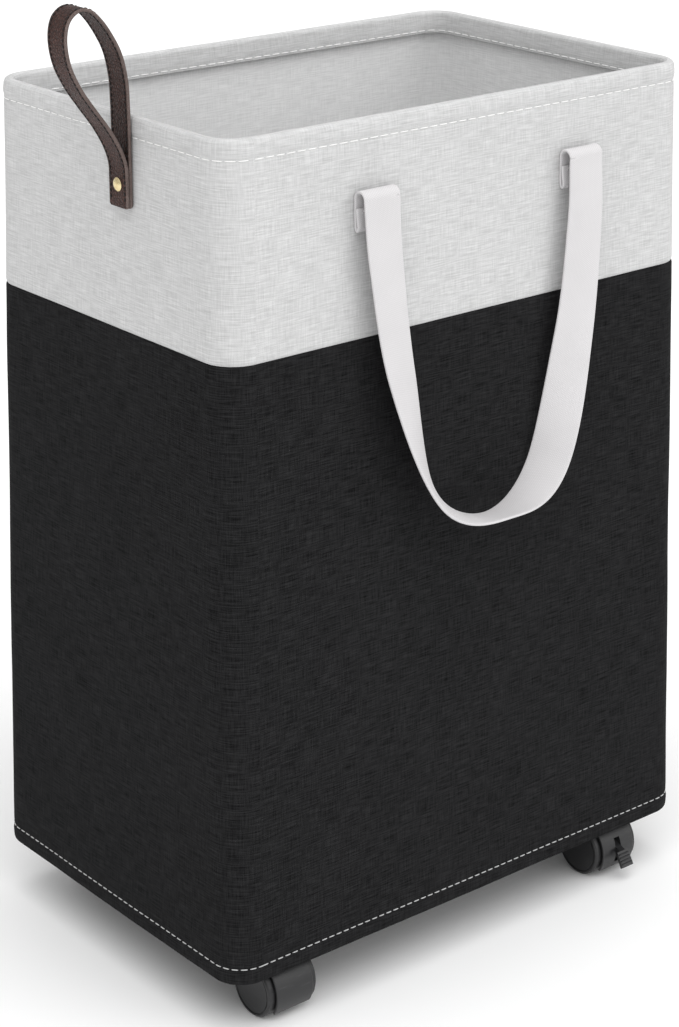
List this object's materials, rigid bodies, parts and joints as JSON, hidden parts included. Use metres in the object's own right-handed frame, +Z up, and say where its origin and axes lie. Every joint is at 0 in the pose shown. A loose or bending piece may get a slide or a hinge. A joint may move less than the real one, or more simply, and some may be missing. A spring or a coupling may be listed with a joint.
{
  "type": "rolling laundry hamper",
  "caption": "Tall rectangular fabric laundry hamper, light above and black below, with webbing handles, a leather pull loop and swivel casters.",
  "frame": {"origin": "on the floor, under the middle of the fabric body", "axes": "+Z up; -Y is the wide front wall; -X is the narrow wall with the leather pull loop"},
  "size_m": [0.5027, 0.3784, 0.7512],
  "materials": {
    "light_fabric": "heathered weave",
    "black_fabric": "heathered weave",
    "lining_fabric": "coated weave",
    "stiffener_board": "corrugated sheet",
    "foam": "closed-cell foam",
    "wire": "drawn wire",
    "steel": "zinc plated",
    "base_wood": "fibreboard",
    "webbing": "cotton webbing",
    "leather": "grained",
    "brass": "polished",
    "black_plastic": "satin moulded",
    "wheel_plastic": "satin moulded"
  },
  "bodies": {
    "hamper": {"upper_fabric": "light_fabric", "lower_fabric": "black_fabric", "bottom_panel": "black_fabric", "lining": "lining_fabric", "rim_hoop": "wire", "hoop_ferrule": "wire", "base_board": "base_wood", "leather_rivet": "brass", "rivet_burr": "brass", "front_board": "stiffener_board", "back_board": "stiffener_board", "left_board": "stiffener_board", "right_board": "stiffener_board", "front_left_corner_foam": "foam", "front_right_corner_foam": "foam", "back_left_corner_foam": "foam", "back_right_corner_foam": "foam", "front_left_webbing_tab": "webbing", "front_right_webbing_tab": "webbing", "back_left_webbing_tab": "webbing", "back_right_webbing_tab": "webbing", "caster_tee_nuts": "steel", "front_left_caster_stem": "steel", "front_right_caster_stem": "steel", "back_left_caster_stem": "steel", "back_right_caster_stem": "steel"},
    "floor_pad": {"floor_pad": "lining_fabric"},
    "front_handle": {"front_webbing": "webbing"},
    "back_handle": {"back_webbing": "webbing"},
    "side_handle": {"leather_handle": "leather"},
    "front_left_caster": {"front_left_caster_hood": "black_plastic", "front_left_caster_axle": "steel"},
    "front_left_wheel_a": {"front_left_wheel_a": "wheel_plastic"},
    "front_left_wheel_b": {"front_left_wheel_b": "wheel_plastic"},
    "front_right_caster": {"front_right_caster_hood": "black_plastic", "front_right_caster_axle": "steel", "front_right_brake_pin": "steel"},
    "front_right_wheel_a": {"front_right_wheel_a": "wheel_plastic"},
    "front_right_wheel_b": {"front_right_wheel_b": "wheel_plastic"},
    "front_right_brake": {"front_right_brake_lever": "black_plastic"},
    "back_left_caster": {"back_left_caster_hood": "black_plastic", "back_left_caster_axle": "steel"},
    "back_left_wheel_a": {"back_left_wheel_a": "wheel_plastic"},
    "back_left_wheel_b": {"back_left_wheel_b": "wheel_plastic"},
    "back_right_caster": {"back_right_caster_hood": "black_plastic", "back_right_caster_axle": "steel", "back_right_brake_pin": "steel"},
    "back_right_wheel_a": {"back_right_wheel_a": "wheel_plastic"},
    "back_right_wheel_b": {"back_right_wheel_b": "wheel_plastic"},
    "back_right_brake": {"back_right_brake_lever": "black_plastic"}
  },
  "joints": [
    {"name": "floor_pad_lift", "type": "slide", "parent": "hamper", "child": "floor_pad", "axis": [0, 0, 1], "range_m": [0, 0.66]},
    {"name": "front_handle_swing", "type": "hinge", "parent": "hamper", "child": "front_handle", "pos_m": [0.0035, -0.1498, 0.618], "axis": [-1, 0, 0], "range_deg": [0, 150]},
    {"name": "back_handle_swing", "type": "hinge", "parent": "hamper", "child": "back_handle", "pos_m": [-0.0035, 0.1498, 0.618], "axis": [1, 0, 0], "range_deg": [0, 150]},
    {"name": "side_handle_swivel", "type": "hinge", "parent": "hamper", "child": "side_handle", "pos_m": [-0.21892, -0.029, 0.624], "axis": [1, 0, 0], "range_deg": [-35, 35]},
    {"name": "front_left_swivel", "type": "hinge", "parent": "hamper", "child": "front_left_caster", "pos_m": [-0.169, -0.111, 0.022], "axis": [0, 0, 1], "continuous": true},
    {"name": "front_left_wheel_a_roll", "type": "hinge", "parent": "front_left_caster", "child": "front_left_wheel_a", "pos_m": [-0.169, -0.125, 0.022], "axis": [1, 0, 0], "continuous": true},
    {"name": "front_left_wheel_b_roll", "type": "hinge", "parent": "front_left_caster", "child": "front_left_wheel_b", "pos_m": [-0.169, -0.125, 0.022], "axis": [1, 0, 0], "continuous": true},
    {"name": "front_right_swivel", "type": "hinge", "parent": "hamper", "child": "front_right_caster", "pos_m": [0.169, -0.111, 0.022], "axis": [0, 0, 1], "continuous": true},
    {"name": "front_right_wheel_a_roll", "type": "hinge", "parent": "front_right_caster", "child": "front_right_wheel_a", "pos_m": [0.169, -0.125, 0.022], "axis": [1, 0, 0], "continuous": true},
    {"name": "front_right_wheel_b_roll", "type": "hinge", "parent": "front_right_caster", "child": "front_right_wheel_b", "pos_m": [0.169, -0.125, 0.022], "axis": [1, 0, 0], "continuous": true},
    {"name": "front_right_brake_press", "type": "hinge", "parent": "front_right_caster", "child": "front_right_brake", "pos_m": [0.169, -0.138, 0.028], "axis": [1, 0, 0], "range_deg": [0, 12]},
    {"name": "back_left_swivel", "type": "hinge", "parent": "hamper", "child": "back_left_caster", "pos_m": [-0.169, 0.111, 0.022], "axis": [0, 0, 1], "continuous": true},
    {"name": "back_left_wheel_a_roll", "type": "hinge", "parent": "back_left_caster", "child": "back_left_wheel_a", "pos_m": [-0.155, 0.111, 0.022], "axis": [0, 1, 0], "continuous": true},
    {"name": "back_left_wheel_b_roll", "type": "hinge", "parent": "back_left_caster", "child": "back_left_wheel_b", "pos_m": [-0.155, 0.111, 0.022], "axis": [0, 1, 0], "continuous": true},
    {"name": "back_right_swivel", "type": "hinge", "parent": "hamper", "child": "back_right_caster", "pos_m": [0.169, 0.111, 0.022], "axis": [0, 0, 1], "continuous": true},
    {"name": "back_right_wheel_a_roll", "type": "hinge", "parent": "back_right_caster", "child": "back_right_wheel_a", "pos_m": [0.183, 0.111, 0.022], "axis": [0, 1, 0], "continuous": true},
    {"name": "back_right_wheel_b_roll", "type": "hinge", "parent": "back_right_caster", "child": "back_right_wheel_b", "pos_m": [0.183, 0.111, 0.022], "axis": [0, 1, 0], "continuous": true},
    {"name": "back_right_brake_press", "type": "hinge", "parent": "back_right_caster", "child": "back_right_brake", "pos_m": [0.196, 0.111, 0.028], "axis": [0, 1, 0], "range_deg": [0, 12]}
  ]
}
